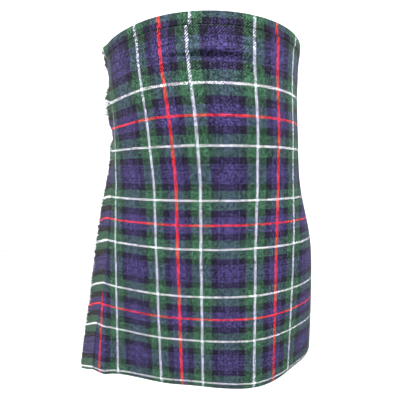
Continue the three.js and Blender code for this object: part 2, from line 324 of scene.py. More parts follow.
def linear(hexValue):
    parts = [int(hexValue[i:i + 2], 16) / 255 for i in (1, 3, 5)]
    return tuple(p / 12.92 if p <= 0.04045 else ((p + 0.055) / 1.055) ** 2.4 for p in parts) + (1.0,)


def addNode(tree, kind, inputs=None, **settings):
    node = tree.nodes.new(kind)
    for name, value in settings.items():
        setattr(node, name, value)
    for socket, value in (inputs or {}).items():
        if isinstance(value, bpy.types.NodeSocket):
            tree.links.new(value, node.inputs[socket])
        else:
            node.inputs[socket].default_value = value
    return node


def newMaterial(name):
    material = bpy.data.materials.new(name)
    material.use_nodes = True
    tree = material.node_tree
    shader = tree.nodes["Principled BSDF"]
    return material, tree, shader


tartanColours = {
    "red": "#ff3039", "blue": "#413868", "black": "#242029", "green": "#375c46", "white": "#f8f9ff",
    "shadedBlue": "#2c284a",
}
# stripes from the red line's middle out to the white line's middle, and on to the pivot;
# the warp's lines are broader, and its black took more of the blue dye
threadCounts = {
    "warp": {
        "black": "#25213a", "white": "#dfe3f6",
        "redSide": [("red", 2.9), ("blue", 17.4), ("black", 16), ("green", 20.8), ("white", 3.0)],
        "pivotSide": [("white", 3.0), ("green", 20.8), ("black", 14), ("blue", 4), ("shadedBlue", 3),
                      ("blue", 4), ("shadedBlue", 3), ("blue", 9.5)],
    },
    "weft": {
        "black": "#1b1921",
        "redSide": [("red", 2.7), ("blue", 17.6), ("black", 16), ("green", 21.1), ("white", 2.6)],
        "pivotSide": [("white", 2.6), ("green", 21.1), ("black", 15), ("blue", 4), ("shadedBlue", 3),
                      ("blue", 4), ("shadedBlue", 3), ("blue", 8.5)],
    },
}
tartanCloth = {
    # real threads are 0.67 mm apart; drawn at 0.9 mm so that the twill's steps show
    "threadsPerHalfSett": 94, "roughness": 0.9, "sheen": 0.05,
}


def fillTartanRamp(ramp, system):
    ramp.interpolation = "CONSTANT"
    stops = []
    for side, start in (("redSide", 0.0), ("pivotSide", 0.5)):
        counts = threadCounts[system][side]
        total = sum(count for _, count in counts)
        position = start
        for name, count in counts:
            if not stops or stops[-1][1] != name:
                stops.append((position, name))
            position += 0.5 * count / total
    while len(ramp.elements) < len(stops):
        ramp.elements.new(0.5)
    for element, (position, name) in zip(ramp.elements, stops):
        element.position = position
    for element, (position, name) in zip(ramp.elements, stops):
        element.position = position
        element.color = linear(threadCounts[system].get(name) or tartanColours[name])


def tartanMaterial():
    # worsted wool, piece-dyed yarns in a two-and-two twill: matt, with a faint bloom of fibre
    material, tree, shader = newMaterial("worstedWoolTwill")
    cloth = addNode(tree, "ShaderNodeUVMap", uv_map="cloth")
    parts = addNode(tree, "ShaderNodeSeparateXYZ", {"Vector": cloth.outputs[0]})
    perHalf = tartanCloth["threadsPerHalfSett"]
    found = []
    for socket, system in (("X", "warp"), ("Y", "weft")):
        threads = addNode(tree, "ShaderNodeMath", {0: parts.outputs[socket], 1: perHalf}, operation="MULTIPLY")
        number = addNode(tree, "ShaderNodeMath", {0: threads.outputs[0]}, operation="FLOOR")
        middle = addNode(tree, "ShaderNodeMath", {0: number.outputs[0], 1: 0.5}, operation="ADD")
        share = addNode(tree, "ShaderNodeMath", {0: middle.outputs[0], 1: perHalf}, operation="DIVIDE")
        mirrored = addNode(tree, "ShaderNodeMath", {0: share.outputs[0], 1: 1.0}, operation="PINGPONG")
        ramp = addNode(tree, "ShaderNodeValToRGB", {"Fac": mirrored.outputs[0]})
        fillTartanRamp(ramp.color_ramp, system)
        across = addNode(tree, "ShaderNodeMath", {0: threads.outputs[0]}, operation="FRACT")
        centred = addNode(tree, "ShaderNodeMath", {0: across.outputs[0], 1: 0.5}, operation="SUBTRACT")
        away = addNode(tree, "ShaderNodeMath", {0: centred.outputs[0]}, operation="ABSOLUTE")
        found.append((number, ramp, away))
    (warpNumber, warpRamp, warpAway), (weftNumber, weftRamp, weftAway) = found
    diagonal = addNode(tree, "ShaderNodeMath", {0: warpNumber.outputs[0], 1: weftNumber.outputs[0]},
                       operation="SUBTRACT")
    step = addNode(tree, "ShaderNodeMath", {0: diagonal.outputs[0], 1: 4.0}, operation="FLOORED_MODULO")
    warpOnTop = addNode(tree, "ShaderNodeMath", {0: step.outputs[0], 1: 1.5}, operation="LESS_THAN")
    woven = addNode(tree, "ShaderNodeMix", {"Factor": warpOnTop.outputs[0], "A": weftRamp.outputs[0],
                                            "B": warpRamp.outputs[0]}, data_type="RGBA")
    wovenColour = next(s for s in woven.outputs if s.type == "RGBA")
    # uneven dye along the yarns, 3 to 20 mm long
    place3d = addNode(tree, "ShaderNodeTexCoord")
    dye = addNode(tree, "ShaderNodeTexNoise", {"Vector": place3d.outputs["Object"], "Scale": 140.0,
                                               "Detail": 3.0, "Roughness": 0.7})
    dyeRange = addNode(tree, "ShaderNodeMapRange", {"Value": dye.outputs["Fac"], "From Min": 0.3,
                                                    "From Max": 0.7, "To Min": 0.93, "To Max": 1.07})
    dyed = addNode(tree, "ShaderNodeVectorMath", {0: wovenColour, "Scale": dyeRange.outputs[0]},
                   operation="SCALE")
    # fibre ends and uneven spinning, 1 to 2 mm across
    fibre = addNode(tree, "ShaderNodeTexNoise", {"Vector": place3d.outputs["Object"], "Scale": 700.0,
                                                 "Detail": 0.0})
    fibreRange = addNode(tree, "ShaderNodeMapRange", {"Value": fibre.outputs["Fac"], "From Min": 0.3,
                                                      "From Max": 0.7, "To Min": 0.6, "To Max": 1.45})
    flecked = addNode(tree, "ShaderNodeVectorMath", {0: dyed.outputs[0], "Scale": fibreRange.outputs[0]},
                      operation="SCALE")
    # pairs of threads catch the light a little differently
    crossing = addNode(tree, "ShaderNodeCombineXYZ", {"X": warpNumber.outputs[0],
                                                      "Y": weftNumber.outputs[0]})
    pairs = addNode(tree, "ShaderNodeVectorMath", {0: crossing.outputs[0], 1: (2.0, 2.0, 2.0)},
                    operation="SNAP")
    speck = addNode(tree, "ShaderNodeTexWhiteNoise", {"Vector": pairs.outputs[0]}, noise_dimensions="2D")
    speckRange = addNode(tree, "ShaderNodeMapRange", {"Value": speck.outputs["Value"], "To Min": 0.25,
                                                      "To Max": 1.75})
    speckled = addNode(tree, "ShaderNodeVectorMath", {0: flecked.outputs[0], "Scale": speckRange.outputs[0]},
                       operation="SCALE")
    tree.links.new(speckled.outputs[0], shader.inputs["Base Color"])
    shader.inputs["Roughness"].default_value = tartanCloth["roughness"]
    shader.inputs["Sheen Weight"].default_value = tartanCloth["sheen"]
    shader.inputs["Sheen Roughness"].default_value = 0.5
    shader.inputs["Specular IOR Level"].default_value = 0.1
    threadAway = addNode(tree, "ShaderNodeMix", {"Factor": warpOnTop.outputs[0], "A": weftAway.outputs[0],
                                                 "B": warpAway.outputs[0]}, data_type="FLOAT")
    bump = addNode(tree, "ShaderNodeBump", {"Height": threadAway.outputs[0], "Strength": 0.35,
                                            "Distance": 0.0004}, invert=True)
    tree.links.new(bump.outputs[0], shader.inputs["Normal"])
    return material


def fringeMaterial():
    # loose worsted yarns: each one keeps the colour of the weft it is pulled from
    material, tree, shader = newMaterial("looseWorstedYarn")
    chart = addNode(tree, "ShaderNodeAttribute", attribute_name="weft")
    mirrored = addNode(tree, "ShaderNodeMath", {0: chart.outputs["Fac"], 1: 1.0}, operation="PINGPONG")
    ramp = addNode(tree, "ShaderNodeValToRGB", {"Fac": mirrored.outputs[0]})
    fillTartanRamp(ramp.color_ramp, "weft")
    place3d = addNode(tree, "ShaderNodeTexCoord")
    fibre = addNode(tree, "ShaderNodeTexNoise", {"Vector": place3d.outputs["Object"], "Scale": 400.0})
    fibreRange = addNode(tree, "ShaderNodeMapRange", {"Value": fibre.outputs["Fac"], "From Min": 0.3,
                                                      "From Max": 0.7, "To Min": 0.75, "To Max": 1.2})
    shade = addNode(tree, "ShaderNodeVectorMath", {0: ramp.outputs[0], "Scale": fibreRange.outputs[0]},
                    operation="SCALE")
    tree.links.new(shade.outputs[0], shader.inputs["Base Color"])
    shader.inputs["Roughness"].default_value = 0.95
    shader.inputs["Sheen Weight"].default_value = 0.4
    return material


tartan = tartanMaterial()
fringeWool = fringeMaterial()
print("tartan charted")

overApron = {"rowStep": 5.0, "dentRowStep": 1.6, "columnStep": 5.0, "slitHalfWidth": 4.0, "slitBefore": 16.0}


def fractions(count):
    return np.linspace(0, 1, count + 1)


def overApronPath(height, frontColumns):
    middle = form["apronCloth"] / 2
    crease = wrapAt("crease", height)
    slit = crease - overApron["slitBefore"]
    pitch = wrapAt("layerPitch", height)
    edge = wrapAt("apronEdge", height)
    stops = [[s, middle] for s in edge + (slit - overApron["slitHalfWidth"] - edge) * fractions(frontColumns)]
    stops += [[slit - overApron["slitHalfWidth"] + 4 * k, middle] for k in (1, 2)]
    turn = pitch / 2
    start = crease - middle - turn
    stops += [[start - 4, middle]]
    stops += [[start + turn * math.sin(a), middle + turn - turn * math.cos(a)]
              for a in np.linspace(0, math.pi, 7)]
    back = foldEdge(-1, height)
    endDepth = legDepth(0, back, height) + pitch + 0.2
    stops += [[start + (back - start) * t, middle + pitch + (endDepth - middle - pitch) * t]
              for t in (0.25, 0.5, 0.75, 1.0)]
    return np.array(stops)


def makeOverApron():
    rows = heights([form["hem"], -16, 16, seamHeight - form["seamGap"]],
                   overApron["rowStep"], overApron["dentRowStep"], overApron["rowStep"])
    frontColumns = round(560 / overApron["columnStep"])
    outer, inner, chart = [], [], []
    for height in rows:
        path = overApronPath(height, frontColumns)
        for grid, side in ((outer, 0.5), (inner, -0.5)):
            moved = offsetPath(path, side * form["apronCloth"])
            grid.append(place(height, moved[:, 0], moved[:, 1], over=True))
        length = np.concatenate([[0], np.cumsum(np.linalg.norm(np.diff(path, axis=0), axis=1))])
        chart.append(apronCloth(height, path[0, 0] + length))
    low = rows.index(-16)
    high = min(range(len(rows)), key=lambda i: abs(rows[i] - 16))
    hole = (slice(low, high), slice(frontColumns, frontColumns + 2))
    return wallShell("overApronCloth", outer, inner, chart, tartan, hole)


overApronPiece = finishPiece(makeOverApron(), "tartan", "over_apron")
print("over-apron made")

underApron = {"rowStep": 9.0, "columns": 70}


def makeUnderApron():
    rows = heights([form["hem"], seamHeight - form["seamGap"]], underApron["rowStep"])
    outer, inner, chart = [], [], []
    for height in rows:
        depth = wrapAt("underDepth", height) + form["apronCloth"] / 2
        last = wrapAt("lastFold", height)
        start = last - foldSpacing(height)
        end = form["underEnd"] * quarter(height)
        lead = [[start + (last - start) * t, depth + 2 * wrapAt("layerPitch", height) * (1 - t)]
                for t in (0, 0.33, 0.66)]
        path = np.array(lead + [[s, depth] for s in last + (end - last) * fractions(underApron["columns"])])
        for grid, side in ((outer, 0.5), (inner, -0.5)):
            moved = offsetPath(path, side * form["apronCloth"])
            grid.append(place(height, moved[:, 0], moved[:, 1]))
        chart.append(apronCloth(height, path[:, 0] - 60))
    return wallShell("underApronCloth", outer, inner, chart, tartan)


underApronPiece = finishPiece(makeUnderApron(), "tartan", "under_apron")
print("under-apron made")

pleatedBack = {"rowStep": 10.0, "rising": 8, "outerFold": 5, "returning": 6, "innerFold": 3,
               "whiteFromFold": 12.0, "settLength": 169.9, "trueSpan": 45.0}


def pleatPath(height):
    pitch = wrapAt("layerPitch", height)
    spacing = foldSpacing(height)
    reach = wrapAt("foldReach", height) * spacing
    radius = pitch / 2
    stops, charted = [], []
    for index in range(1, form["pleats"] + 1):
        edge = foldEdge(index, height) - form["pleatCloth"] / 2 - radius
        root = foldEdge(index, height) - reach + radius
        nextRoot = foldEdge(index + 1, height) - reach + radius
        legs = []
        for t in fractions(pleatedBack["rising"]):
            s = root + (edge - root) * t**0.8
            legs.append([s, legDepth(index, s, height)])
        top = legs[-1][1]
        for a in np.linspace(0, math.pi, pleatedBack["outerFold"] + 2)[1:-1]:
            legs.append([edge + radius * math.sin(a), top + radius - radius * math.cos(a)])
        folded = len(legs) - (pleatedBack["outerFold"] + 1) // 2
        for t in fractions(pleatedBack["returning"]):
            s = edge + (nextRoot - edge) * t**1.25
            legs.append([s, legDepth(index, s, height) + pitch])
        deep = legs[-1][1]
        if index < form["pleats"]:
            for a in np.linspace(0, math.pi, pleatedBack["innerFold"] + 2)[1:-1]:
                legs.append([nextRoot - radius * math.sin(a), deep + radius - radius * math.cos(a)])
        legs = np.array(legs)
        length = np.concatenate([[0], np.cumsum(np.linalg.norm(np.diff(legs, axis=0), axis=1))])
        signed = length - length[folded]
        span = pleatedBack["trueSpan"]
        share = pleatedBack["settLength"]
        ends = [signed[0] - 1, -span, span, max(signed[-1], span + 1)]
        marks = [-0.6 * share, -span, span, 0.4 * share + 1]
        if signed[0] > -span:
            ends, marks = ends[1:], marks[1:]
        stretched = np.interp(signed, ends, marks)
        stops.append(legs)
        charted.append(index * share + stretched)
    return np.concatenate(stops), np.concatenate(charted)


def makePleatedBack():
    rows = heights([form["hem"], seamHeight - form["seamGap"]], pleatedBack["rowStep"])
    outer, inner, chart = [], [], []
    # the white line stands a set way back from every fold
    whiteAt = sett["weftRedToWhite"] + pleatedBack["whiteFromFold"]
    for height in rows:
        path, cloth = pleatPath(height)
        for grid, side in ((outer, 0.5), (inner, -0.5)):
            moved = offsetPath(path, side * form["pleatCloth"])
            grid.append(place(height, moved[:, 0], moved[:, 1]))
        warp = halfSetts(cloth + whiteAt, sett["weftRedToWhite"], sett["weftWhiteToWhite"])
        weft = weftCoordinate(np.full(len(path), height - form["hem"]))
        chart.append(np.stack([warp, weft], -1))
    return wallShell("pleatedBackCloth", outer, inner, chart, tartan)


pleatedBackPiece = finishPiece(makePleatedBack(), "tartan", "pleated_back")
print("pleats made")

waistband = {
    "columnStep": 5.0, "splitThread": 38.0, "standOut": 0.6, "overhang": 8.0,
    # the band was cut from another place in the cloth, so its stripes miss the apron's
    "shiftAlong": [-86, -45, -3, 96, 137, 178], "patternShift": [-1.5, 1.5, 6.5, 0.0, -4.5, 3.0],
}


def bandPiece(name, node, start, end, outerDepth, thickness, over, shift):
    low, high = seamHeight, form["top"]
    middle = (low + high) / 2
    count = round(abs(end(middle) - start(middle)) / waistband["columnStep"])
    # a folded edge above and below: the profile is a rounded oblong, seen from its end
    soft = min(1.4, thickness / 2)
    outline = []
    corners = [(low + soft, soft, -90, 0), (low + soft, thickness - soft, 0, 90),
               (high - soft, thickness - soft, 90, 180), (high - soft, soft, 180, 270)]
    for z, depth, a0, a1 in corners:
        for a in np.radians(np.linspace(a0, a1, 5)):
            # at -90 degrees the outline is on the outer face, and it turns through the bottom
            outline.append((z - soft * math.cos(a), depth + soft * math.sin(a)))
    outline += [(high - 5.5, -0.05), (high - 10.5, -0.05)]
    vertices, uv = [], []
    for z, depth in outline:
        along = start(z) + (end(z) - start(z)) * fractions(count)
        line = place(z, along, np.full(len(along), outerDepth + depth), over)
        vertices.append(line)
        missed = np.interp(along, waistband["shiftAlong"], waistband["patternShift"])
        warp = warpCoordinate(along - grainShift[-1] - missed + shift)
        half = (waistband["splitThread"] + (z - middle) / 0.667) / 60.5 * 0.5
        uv.append(np.stack([warp, np.full(len(along), half)], -1))
    vertices, uv = np.array(vertices), np.array(uv)
    sides, columns = vertices.shape[:2]
    faces = []
    for k in range(sides):
        n = (k + 1) % sides
        for c in range(columns - 1):
            faces.append([k * columns + c, n * columns + c, n * columns + c + 1, k * columns + c + 1])
    faces.append([k * columns for k in reversed(range(sides))])
    faces.append([k * columns + columns - 1 for k in range(sides)])
    piece = makeObject(name, vertices.reshape(-1, 3), faces, tartan, uv.reshape(-1, 2), 50)
    return finishPiece(piece, "tartan", node)


def creaseAt(height):
    return wrapAt("crease", height)


bandPieces = [
    bandPiece("waistbandFrontCloth", "waistband_front",
              lambda h: wrapAt("apronEdge", h) - waistband["overhang"], creaseAt,
              -waistband["standOut"], 2.8, True, 0.0),
    bandPiece("waistbandBackCloth", "waistband_back", lambda h: creaseAt(h) + form["seamGap"],
              lambda h: ring(h).length + wrapAt("lastFold", h), -waistband["standOut"], 11.2, False, 40.0),
    bandPiece("waistbandUnderCloth", "waistband_under", lambda h: wrapAt("lastFold", h) + form["seamGap"],
              lambda h: form["underEnd"] * quarter(h), wrapAt("underDepth", 50) - waistband["standOut"],
              2.8, False, 25.0),
]
# 0.021 is fitted to the sheet check: the strips' own widths are about 36, 47 and 33 mm
print("waistband made")

fringe = {
    # height, reach, turn outwards, rise of the tips, looseness
    "table": np.array([
        [-560, 18, 30, 6, 0.05], [-505, 18, 33, 1, 0.06], [-460, 19, 36, -4, 0.06], [-380, 23, 38, -6, 0.06],
        [-290, 19, 42, -6, 0.07], [-205, 14, 42, -5, 0.1], [-150, 8, 25, -2, 0.2], [-112, 7, 20, 2, 0.3],
        [-100, 1.0, 15, 0, 0.3], [-80, 2, 20, 0, 0.4], [-74, 7, 30, -2, 0.3], [-62, 7, 30, 0, 0.4],
        [-54, 8.5, 30, -2, 0.6], [-26, 8.5, 30, 0, 0.6], [-18, 5, 25, 0, 0.5], [-10, 2, 10, 0, 0.5],
        [8, 1.5, 10, 0, 0.5], [20, 5, 10, -2, 0.6], [34, 7, 10, 0, 0.5],
    ]),
    "yarnStep": 0.8, "yarnRadius": 0.62, "root": 5.0, "seed": 3,
}


def newTree(name, inputs):
    tree = bpy.data.node_groups.new(name, "GeometryNodeTree")
    for label, kind in [("Geometry", "Geometry"), *inputs]:
        tree.interface.new_socket(label, in_out="INPUT", socket_type=f"NodeSocket{kind}")
    tree.interface.new_socket("Geometry", in_out="OUTPUT", socket_type="NodeSocketGeometry")
    return tree, addNode(tree, "NodeGroupInput")


def fringeTree():
    tree, entry = newTree("fringeYarns", [("Yarn Radius", "Float"), ("Waviness", "Float"), ("Seed", "Int")])
    points = addNode(tree, "GeometryNodeMeshToPoints", {"Mesh": entry.outputs["Geometry"]})
    straight = addNode(tree, "GeometryNodeCurvePrimitiveLine", {"Start": (0, 0, 0), "End": (1, 0, 0)})
    yarn = addNode(tree, "GeometryNodeResampleCurve", {"Curve": straight.outputs[0], "Count": 6})
    aim = addNode(tree, "GeometryNodeInputNamedAttribute", {"Name": "aim"}, data_type="FLOAT_VECTOR")
    reach = addNode(tree, "GeometryNodeInputNamedAttribute", {"Name": "reach"}, data_type="FLOAT")
    turned = addNode(tree, "FunctionNodeAlignRotationToVector", {"Vector": aim.outputs[0]}, axis="X")
    sized = addNode(tree, "ShaderNodeCombineXYZ", {"X": reach.outputs[0], "Y": reach.outputs[0],
                                                  "Z": reach.outputs[0]})
    placed = addNode(tree, "GeometryNodeInstanceOnPoints", {
        "Points": points.outputs[0], "Instance": yarn.outputs[0],
        "Rotation": turned.outputs[0], "Scale": sized.outputs[0]})
    real = addNode(tree, "GeometryNodeRealizeInstances", {"Geometry": placed.outputs[0]})
    bend = addNode(tree, "GeometryNodeInputNamedAttribute", {"Name": "bend"}, data_type="FLOAT_VECTOR")
    along = addNode(tree, "GeometryNodeSplineParameter")
    squared = addNode(tree, "ShaderNodeMath", {0: along.outputs["Factor"], 1: 2.0}, operation="POWER")
    bent = addNode(tree, "ShaderNodeVectorMath", {0: bend.outputs[0], "Scale": squared.outputs[0]},
                   operation="SCALE")
    where = addNode(tree, "GeometryNodeInputPosition")
    wave = addNode(tree, "ShaderNodeTexNoise", {"Vector": where.outputs[0], "W": entry.outputs["Seed"],
                                                "Scale": 260.0, "Detail": 1.0}, noise_dimensions="4D")
    centred = addNode(tree, "ShaderNodeVectorMath", {0: wave.outputs["Color"], 1: (0.5, 0.5, 0.5)},
                      operation="SUBTRACT")
    growing = addNode(tree, "ShaderNodeMath", {0: along.outputs["Factor"], 1: entry.outputs["Waviness"]},
                      operation="MULTIPLY")
    waved = addNode(tree, "ShaderNodeVectorMath", {0: centred.outputs[0], "Scale": growing.outputs[0]},
                    operation="SCALE")
    moved = addNode(tree, "ShaderNodeVectorMath", {0: bent.outputs[0], 1: waved.outputs[0]}, operation="ADD")
    shaped = addNode(tree, "GeometryNodeSetPosition", {"Geometry": real.outputs[0],
                                                       "Offset": moved.outputs[0]})
    section = addNode(tree, "GeometryNodeCurvePrimitiveCircle", {"Resolution": 5,
                                                                "Radius": entry.outputs["Yarn Radius"]})
    tubes = addNode(tree, "GeometryNodeCurveToMesh", {"Curve": shaped.outputs[0],
                                                      "Profile Curve": section.outputs[0], "Fill Caps": True})
    rounded = addNode(tree, "GeometryNodeSetShadeSmooth", {"Geometry": tubes.outputs[0]})
    finished = addNode(tree, "GeometryNodeRealizeInstances", {"Geometry": rounded.outputs[0]})
    dressed = addNode(tree, "GeometryNodeSetMaterial", {"Geometry": finished.outputs[0],
                                                        "Material": fringeWool})
    addNode(tree, "NodeGroupOutput", {"Geometry": dressed.outputs[0]})
    return tree


def socketId(tree, name):
    return next(i.identifier for i in tree.interface.items_tree
                if i.item_type == "SOCKET" and i.in_out == "INPUT" and i.name == name)


def growNodes(name, points, attributes, tree, inputs):
    # points carry their attributes into the tree, and what grows on them comes back as a plain mesh
    mesh = bpy.data.meshes.new(name)
    mesh.from_pydata((np.asarray(points) * 0.001).tolist(), [], [])
    for key, values in attributes.items():
        values = np.asarray(values, dtype=np.float32)
        vector = values.ndim == 2
        layer = mesh.attributes.new(key, "FLOAT_VECTOR" if vector else "FLOAT", "POINT")
        layer.data.foreach_set("vector" if vector else "value", values.ravel())
    obj = bpy.data.objects.new(name, mesh)
    bpy.context.scene.collection.objects.link(obj)
    modifier = obj.modifiers.new("grow", "NODES")
    modifier.node_group = tree
    for key, value in inputs.items():
        modifier[socketId(tree, key)] = value
    graph = bpy.context.evaluated_depsgraph_get()
    grown = bpy.data.meshes.new_from_object(obj.evaluated_get(graph), depsgraph=graph)
    obj.modifiers.clear()
    obj.data = grown
    bpy.data.meshes.remove(mesh)
    return obj


def fringeAt(height):
    return (np.interp(height, fringe["table"][:, 0], fringe["table"][:, k]) for k in (1, 2, 3, 4))


def makeFringe():
    points, aims, reaches, bends, weft = [], [], [], [], []
    middle = form["apronCloth"] / 2
    for height in np.arange(form["hem"] + 1, seamHeight - 1, fringe["yarnStep"]):
        reach, lift, rise, loose = fringeAt(height)
        edge = float(wrapAt("apronEdge", height))
        line = ring(height, True)
        point, tangent, normal = (v[0] for v in line.at(np.array([edge + fringe["root"]])))
        base = place(height, np.array([edge + fringe["root"]]), np.array([middle]), True)[0]
        chart = apronCloth(height, np.array([edge]))[0, 1]
        for side in (-0.7, -0.3, 0.1, 0.5):
            turn = math.radians(lift * rng.uniform(0.85, 1.12))
            ahead = -tangent
            aim = np.array([ahead[0] * math.cos(turn) - ahead[1] * math.sin(turn),
                            ahead[0] * math.sin(turn) + ahead[1] * math.cos(turn),
                            rng.normal(0, 0.05)])
            start = base + np.array([*(normal * side), rng.normal(0, 0.25)])
            points.append(start)
            aims.append(aim)
            reaches.append(0.001 * (reach * rng.uniform(0.78, 1.03) + fringe["root"]))
            stray = reach * loose * rng.normal(0, 1, 3) * np.array([0.6, 0.6, 1.0])
            bends.append(0.001 * (stray + np.array([0, 0, rise])))
            weft.append(chart)
    return growNodes("fringeYarns", points, {"aim": aims, "reach": reaches, "bend": bends, "weft": weft},
                     fringeTree(), {"Yarn Radius": 0.001 * fringe["yarnRadius"], "Waviness": 0.0022,
                                    "Seed": fringe["seed"]})


def makeBandTuft():
    # the band's own cut end, where it stands out past the apron
    points, aims, reaches, bends, weft = [], [], [], [], []
    start = float(wrapAt("apronEdge", 42)) - 7.2
    for z in np.arange(seamHeight - 5, form["top"] - 1, 0.5):
        line = ring(float(z), True)
        tangent, normal = (v[0] for v in line.at(np.array([start]))[1:])
        points.append(place(float(z), np.array([start]), np.array([rng.uniform(-0.3, 1.6)]), True)[0])
        aims.append(np.array([-tangent[0], -tangent[1], rng.normal(-0.25, 0.25)]))
        reaches.append(0.001 * rng.uniform(3.0, 6.5))
        bends.append(0.001 * np.array([*(normal * rng.normal(0, 1.2)), rng.normal(-2.2, 1.6)]))
        weft.append(0.42 if z > 41 else 0.30)
    return growNodes("bandTuftYarns", points, {"aim": aims, "reach": reaches, "bend": bends, "weft": weft},
                     bpy.data.node_groups["fringeYarns"],
                     {"Yarn Radius": 0.001 * fringe["yarnRadius"], "Waviness": 0.002, "Seed": 5})


fringePiece = finishPiece(makeFringe(), "fringe", "fringe")
bandTuft = makeBandTuft()
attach(bandTuft, "root")
print("fringe grown")

leatherLook = {"grainMillimetres": 1.1}


def leatherMaterial():
    # bridle leather, dyed black and waxed: soft gloss over a fine pebbled grain
    material, tree, shader = newMaterial("waxedBridleLeather")
    place3d = addNode(tree, "ShaderNodeTexCoord")
    grain = addNode(tree, "ShaderNodeTexVoronoi", {"Vector": place3d.outputs["Object"],
                                                   "Scale": 1000 / leatherLook["grainMillimetres"]},
                    feature="SMOOTH_F1")
    creases = addNode(tree, "ShaderNodeTexNoise", {"Vector": place3d.outputs["Object"], "Scale": 120.0,
                                                   "Detail": 5.0})
    tone = addNode(tree, "ShaderNodeMix", {"Factor": creases.outputs["Fac"],
                                           "A": linear("#100f10"), "B": linear("#2b292b")}, data_type="RGBA")
    toneColour = next(s for s in tone.outputs if s.type == "RGBA")
    tree.links.new(toneColour, shader.inputs["Base Color"])
    rough = addNode(tree, "ShaderNodeMapRange", {"Value": creases.outputs["Fac"], "To Min": 0.34,
                                                 "To Max": 0.52})
    tree.links.new(rough.outputs[0], shader.inputs["Roughness"])
    bump = addNode(tree, "ShaderNodeBump", {"Height": grain.outputs["Distance"], "Strength": 0.25,
                                            "Distance": 0.0003})
    tree.links.new(bump.outputs[0], shader.inputs["Normal"])
    return material


def nickelMaterial():
    # nickel-plated steel, barrel polished: bright, with soft scuffs
    material, tree, shader = newMaterial("polishedNickelPlate")
    place3d = addNode(tree, "ShaderNodeTexCoord")
    scuffs = addNode(tree, "ShaderNodeTexNoise", {"Vector": place3d.outputs["Object"], "Scale": 300.0,
                                                  "Detail": 6.0})
    rough = addNode(tree, "ShaderNodeMapRange", {"Value": scuffs.outputs["Fac"], "From Min": 0.35,
                                                 "From Max": 0.65, "To Min": 0.18, "To Max": 0.32})
    shader.inputs["Base Color"].default_value = linear("#c9c6c0")
    shader.inputs["Metallic"].default_value = 1.0
    tree.links.new(rough.outputs[0], shader.inputs["Roughness"])
    return material


def threadMaterial():
    # bonded linen thread, waxed: stitches on leather and along the waistband, and the dark discs of painted
    # shade that stand in for the strap holes
    material, tree, shader = newMaterial("waxedLinenThread")
    place3d = addNode(tree, "ShaderNodeTexCoord")
    twist = addNode(tree, "ShaderNodeTexNoise", {"Vector": place3d.outputs["Object"], "Scale": 2200.0})
    tone = addNode(tree, "ShaderNodeMix", {"Factor": twist.outputs["Fac"], "A": linear("#151218"),
                                           "B": linear("#37323c")}, data_type="RGBA")
    toneColour = next(s for s in tone.outputs if s.type == "RGBA")
    tree.links.new(toneColour, shader.inputs["Base Color"])
    shader.inputs["Roughness"].default_value = 0.6
    return material


leather = leatherMaterial()
nickel = nickelMaterial()
thread = threadMaterial()

strap = {
    "width": 28.0, "thickness": 2.2, "clearance": 0.6, "hidden": 1.3, "frameStandOff": 2.0,
    "heelClearance": 1.6, "chapeLength": 46.0, "chapeGap": 2.0,
    "stitchLength": 3.4, "stitchGap": 1.5, "stitchInset": 2.8, "stitchRadius": 0.42,
    "holeSpacing": 14.0, "holeRadius": 1.9,
}
buckle = {"inside": 31.0, "length": 34.0, "bar": 3.2, "prong": 2.2}


def strapRoute(direction, start, leavesAt, buckleAt):
    half = strap["thickness"] / 2
    outside = -(strap["clearance"] + half)
    hidden = form["apronCloth"] + strap["hidden"] + half
    overHeel = -(strap["frameStandOff"] + buckle["bar"] + strap["heelClearance"] + half)
    overChape = -(2 * strap["clearance"] + strap["thickness"] + half)

    def go(origin, distance):
        return origin + direction * distance

    route = [[s, hidden] for s in start + (leavesAt - start) * fractions(5)]
    route += [[go(leavesAt, 6), outside]]
    first, last = go(leavesAt, 14), go(buckleAt, -14)
    route += [[s, outside] for s in first + (last - first) * fractions(8)]
    route += [[go(buckleAt, -3), overHeel], [go(buckleAt, 4), overHeel]]
    first, last = go(buckleAt, 12), go(buckleAt, 62)
    route += [[s, overChape] for s in first + (last - first) * fractions(5)]
    return np.array(route)


def refined(route, step):
    # the same corners, with points added between them so that the strip bends with the waist
    points = [route[0]]
    for a, b in zip(route, route[1:]):
        count = max(1, round(float(np.linalg.norm(b - a)) / step))
        points += [a + (b - a) * t for t in fractions(count)[1:]]
    points = np.array(points)
    soft = points.copy()
    soft[1:-1, 1] = 0.25 * points[:-2, 1] + 0.5 * points[1:-1, 1] + 0.25 * points[2:, 1]
    return soft


def barFaces(stations, sides, closed=False):
    faces = []
    for i in range(stations if closed else stations - 1):
        j = (i + 1) % stations
        for k in range(sides):
            n = (k + 1) % sides
            faces.append([i * sides + k, i * sides + n, j * sides + n, j * sides + k])
    if not closed:
        faces.append(list(reversed(range(sides))))
        faces.append([(stations - 1) * sides + k for k in range(sides)])
    return faces


def stripPoint(s, depth, height):
    return place(height, np.array([s]), np.array([depth]))[0]


def leatherStrip(name, route, pointed):
    line = refined(route, 3.0)
    if line[0, 0] > line[-1, 0]:
        line = line[::-1]
    half, soft = strap["width"] / 2, 0.8
    thick = strap["thickness"] / 2
    travelled = np.abs(line[:, 0] - (route[-1, 0]))
    outline = []
    for z, d, a0 in ((half - soft, thick - soft, 0), (-(half - soft), thick - soft, 90),
                     (-(half - soft), -(thick - soft), 180), (half - soft, -(thick - soft), 270)):
        for a in np.radians([a0, a0 + 30, a0 + 60, a0 + 90]):
            outline.append((z + soft * math.cos(a), d + soft * math.sin(a)))
    vertices = []
    for (s, depth), left in zip(line, travelled):
        share = 1.0
        if pointed and left < 16:
            share = 0.30 + 0.70 * math.sqrt(max(0.0, 1 - ((16 - left) / 16) ** 2))
        for z, d in outline:
            vertices.append(stripPoint(s, depth + d, z * share))
    piece = makeObject(name, vertices, barFaces(len(line), len(outline)), leather, None, 50)
    fixNormals(piece)
    return piece


